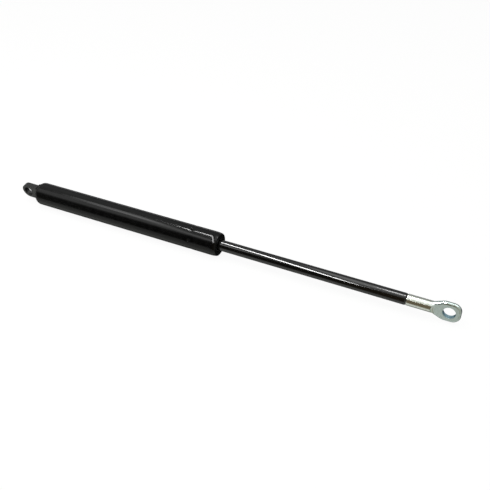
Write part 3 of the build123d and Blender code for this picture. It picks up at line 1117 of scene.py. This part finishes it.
@dataclass
class Studio:
    """Floor, lamps, surroundings and camera.

    The surround levels go by the angle about the X axis: 0 degrees is level on the
    camera's side and 90 is straight up. The room levels go by the direction's X, and
    colour the dark room between its bottom and its top edge. An edge gives the X where
    its slant starts and ends, and its degrees at both.
    """

    camera_place: Place = (0.449917, -0.428175, 0.354061)
    azimuth_deg: float = 26.025
    elevation_deg: float = 36.007
    lens_mm: float = 49.50
    sensor_mm: float = 36.0
    clip_start: float = 0.01
    floor_size: float = 12.0
    floor_middle: float = 0.2
    floor_hex: str = "#e8e8e6"
    floor_white: float = 0.93
    fill_level: float = 0.5
    # From straight down towards the back the levels fall dark; below the spring this is
    # painted shadow of the spring on the floor, seen only in reflections
    surround_levels: Levels = (
        (-180.0, "#0c0d0e"), (-150.0, "#18191a"), (-112.0, "#4a4b4a"),
        (-90.0, "#929390"), (-72.0, "#c9cac6"), (114.0, "#c8c9c8"),
        (138.0, "#aeb0b0"), (162.0, "#3a3b3c"), (180.0, "#0c0d0e"),
    )
    room_levels: Levels = (
        (-0.64, "#5c5b58"), (-0.54, "#383634"), (-0.25, "#302d2a"),
        (-0.12, "#5f523f"), (0.12, "#85806f"), (0.4, "#a9a79c"),
    )
    room_top: Edge = (-0.62, -0.2, 35.0, 44.0)
    room_bottom: Edge = (-0.4, 0.5, -19.0, -60.0)
    room_edge_deg: float = 8.0
    lamps: tuple[Lamp, ...] = (
        Lamp("left_softbox", (-0.73, -0.6, 1.0), (0.74, 0.8), 0.8),
        Lamp("left_softbox_heart", (-0.53, -0.12, 1.03), (0.24, 0.4), 2.8),
        Lamp("left_softbox_tail", (-0.4, -0.55, 1.06), (0.85, 0.16), 1.9, -77.0),
        Lamp("right_softbox", (0.4, 0.22, 1.0), (0.7, 0.85), 0.38),
        Lamp("right_softbox_edge", (0.15, 0.05, 1.03), (0.2, 0.9), 0.9),
        Lamp("far_right_softbox", (1.05, 0.1, 1.03), (1.1, 1.0), 1.25),
        Lamp("right_strip", (0.24, 0.165, 1.06), (0.16, 0.05), 26.0, 65.0),
        Lamp("strip_head", (-0.262, 0.19, 1.0), (0.1, 0.05), 55.0),
    )
    strip_points: tuple[Span, ...] = (
        (-0.22, 0.16), (-0.09, -0.12), (-0.03, -0.45), (0.04, -1.18),
    )
    strip_height: float = 1.0
    strip_width: float = 0.05
    strip_radiance: float = 42.0

    def build(self) -> None:
        """Builds everything that isn't the object."""
        self.floor()
        self.surroundings()
        for lamp in self.lamps:
            lamp.light()
        self.strip()
        self.camera()

    def floor(self) -> None:
        """Adds a plain pale floor under the tube, almost white to the camera."""
        bpy.ops.object.select_all(action="DESELECT")
        middle = (self.floor_middle, 0.0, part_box("pressure_tube")[0].z)
        bpy.ops.mesh.primitive_plane_add(size=self.floor_size, location=middle)
        plane = bpy.context.active_object
        plane.name = "floor"
        plane.visible_glossy = False
        made = bpy.data.materials.new("pale_paper")
        tree = bare_tree(made)
        paper = add_node(tree, "BsdfDiffuse", {"Color": linear(self.floor_hex)})
        glow = add_node(tree, "Emission", {"Color": WHITE})
        seen = add_node(tree, "LightPath").outputs["Is Camera Ray"]
        share = add_node(tree, "Math", {
            "operation": "MULTIPLY", 0: seen, 1: self.floor_white,
        })
        mixed = add_node(tree, "MixShader", {0: share, 1: paper, 2: glow})
        add_node(tree, "OutputMaterial", {"Surface": mixed})
        plane.data.materials.append(made)

    def surroundings(self) -> None:
        """Sets a white studio, a dark, warm room on the camera's side, and painted shadow
        below.
        """
        world = bpy.data.worlds.new("studio")
        bpy.context.scene.world = world
        tree = bare_tree(world)
        direction = add_node(tree, "TexCoord").outputs["Generated"]
        across, away, up = add_node(tree, "SeparateXYZ", {"Vector": direction}).outputs
        nearer = add_node(tree, "Math", {"operation": "MULTIPLY", 0: away, 1: -1.0})
        angle = add_node(tree, "Math", {"operation": "ARCTAN2", 0: up, 1: nearer})
        studio = self.levels(tree, angle, math.pi, 180.0, self.surround_levels)
        room = self.levels(tree, across, 1.0, 1.0, self.room_levels)
        band = add_node(tree, "Math", {
            "operation": "SUBTRACT", "use_clamp": True,
            0: self.past_edge(tree, angle, across, self.room_bottom),
            1: self.past_edge(tree, angle, across, self.room_top),
        })
        seen = add_node(tree, "Mix", {
            "data_type": "RGBA", 0: band, MIX_A: studio, MIX_B: room,
        })
        reflected = add_node(tree, "Background", {"Color": seen.outputs[MIX_OUT]})
        level = self.fill_level
        fill = add_node(tree, "Background", {"Color": WHITE, "Strength": level})
        white = add_node(tree, "Background", {"Color": WHITE})
        ray = add_node(tree, "LightPath").outputs
        glossy = ray["Is Glossy Ray"]
        lit = add_node(tree, "MixShader", {0: glossy, 1: fill, 2: reflected})
        direct = add_node(tree, "Math", {
            "operation": "MAXIMUM",
            0: ray["Is Camera Ray"], 1: ray["Is Transmission Ray"],
        })
        whole = add_node(tree, "MixShader", {0: direct, 1: lit, 2: white})
        add_node(tree, "OutputWorld", {"Surface": whole})

    def levels(
        self, tree: Tree, value: Source, end: float, reach: float, stops: Levels
    ) -> Source:
        """Gives a colour that follows a value through a row of stops.

        Args:
            tree: the world's nodes.
            value: what is followed, from minus end to end.
            end: its highest number.
            reach: the stop that stands for that number.
            stops: each stop with its hex colour, in rising order.

        Returns:
            The colour.
        """
        share = add_node(tree, "MapRange", {FROM: (-end, end), "Value": value})
        node = add_node(tree, "ValToRGB", {"Fac": share})
        marks = node.color_ramp.elements
        for index, (stop, colour) in enumerate(stops):
            place = (stop / reach + 1) / 2
            mark = marks[index] if index < 1 else marks.new(place)
            mark.position = place
            mark.color = linear(colour)
        marks.remove(marks[-1])
        return node

    def past_edge(
        self, tree: Tree, angle: Source, across: Source, edge: Edge
    ) -> Source:
        """Gives how far an angle is past one of the room's soft, slanting edges.

        Args:
            tree: the world's nodes.
            angle: the angle about the X axis, in radians.
            across: the direction's X.
            edge: the room's top or bottom edge.

        Returns:
            0 below the edge and 1 above it.
        """
        start, end, low, high = edge
        ends = {FROM: (start, end), TO: (math.radians(low), math.radians(high))}
        slant = add_node(tree, "MapRange", {**ends, "Value": across})
        past = add_node(tree, "Math", {"operation": "SUBTRACT", 0: angle, 1: slant})
        half = math.radians(self.room_edge_deg)
        return add_node(tree, "MapRange", {
            "interpolation_type": "SMOOTHSTEP", FROM: (-half, half), "Value": past,
        })

    def strip(self) -> None:
        """Adds the bent strip lamp whose streak runs along the tube and the rod."""
        points = [Vector(point) for point in self.strip_points]
        for index, (back, front) in enumerate(zip(points, points[1:])):
            along, middle = front - back, (front + back) / 2
            place = (middle.x, middle.y, self.strip_height)
            size = (along.length, self.strip_width)
            turn_deg = math.degrees(math.atan2(along.y, along.x))
            name = f"strip_{index + 1}"
            Lamp(name, place, size, self.strip_radiance, turn_deg).light()

    def camera(self) -> None:
        """Adds the camera of the photograph."""
        tilt = math.radians(90 - self.elevation_deg)
        turn = (tilt, 0.0, math.radians(self.azimuth_deg))
        bpy.ops.object.select_all(action="DESELECT")
        bpy.ops.object.camera_add(location=self.camera_place, rotation=turn)
        camera = bpy.context.active_object
        camera.data.sensor_width = self.sensor_mm
        camera.data.lens = self.lens_mm
        camera.data.clip_start = self.clip_start
        bpy.context.scene.camera = camera
        bpy.context.scene.view_settings.view_transform = "Standard"


def main() -> None:
    """Builds the studio and the spring's pieces."""
    logging.basicConfig(level=logging.INFO, format="%(name)s: %(message)s")
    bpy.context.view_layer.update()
    Studio().build()
    PressureTube().build()
    TubeEye().build()
    RodAssembly().build()
    RodEye().build()
    InnerPieces().dress()


if __name__ == "__main__":
    main()
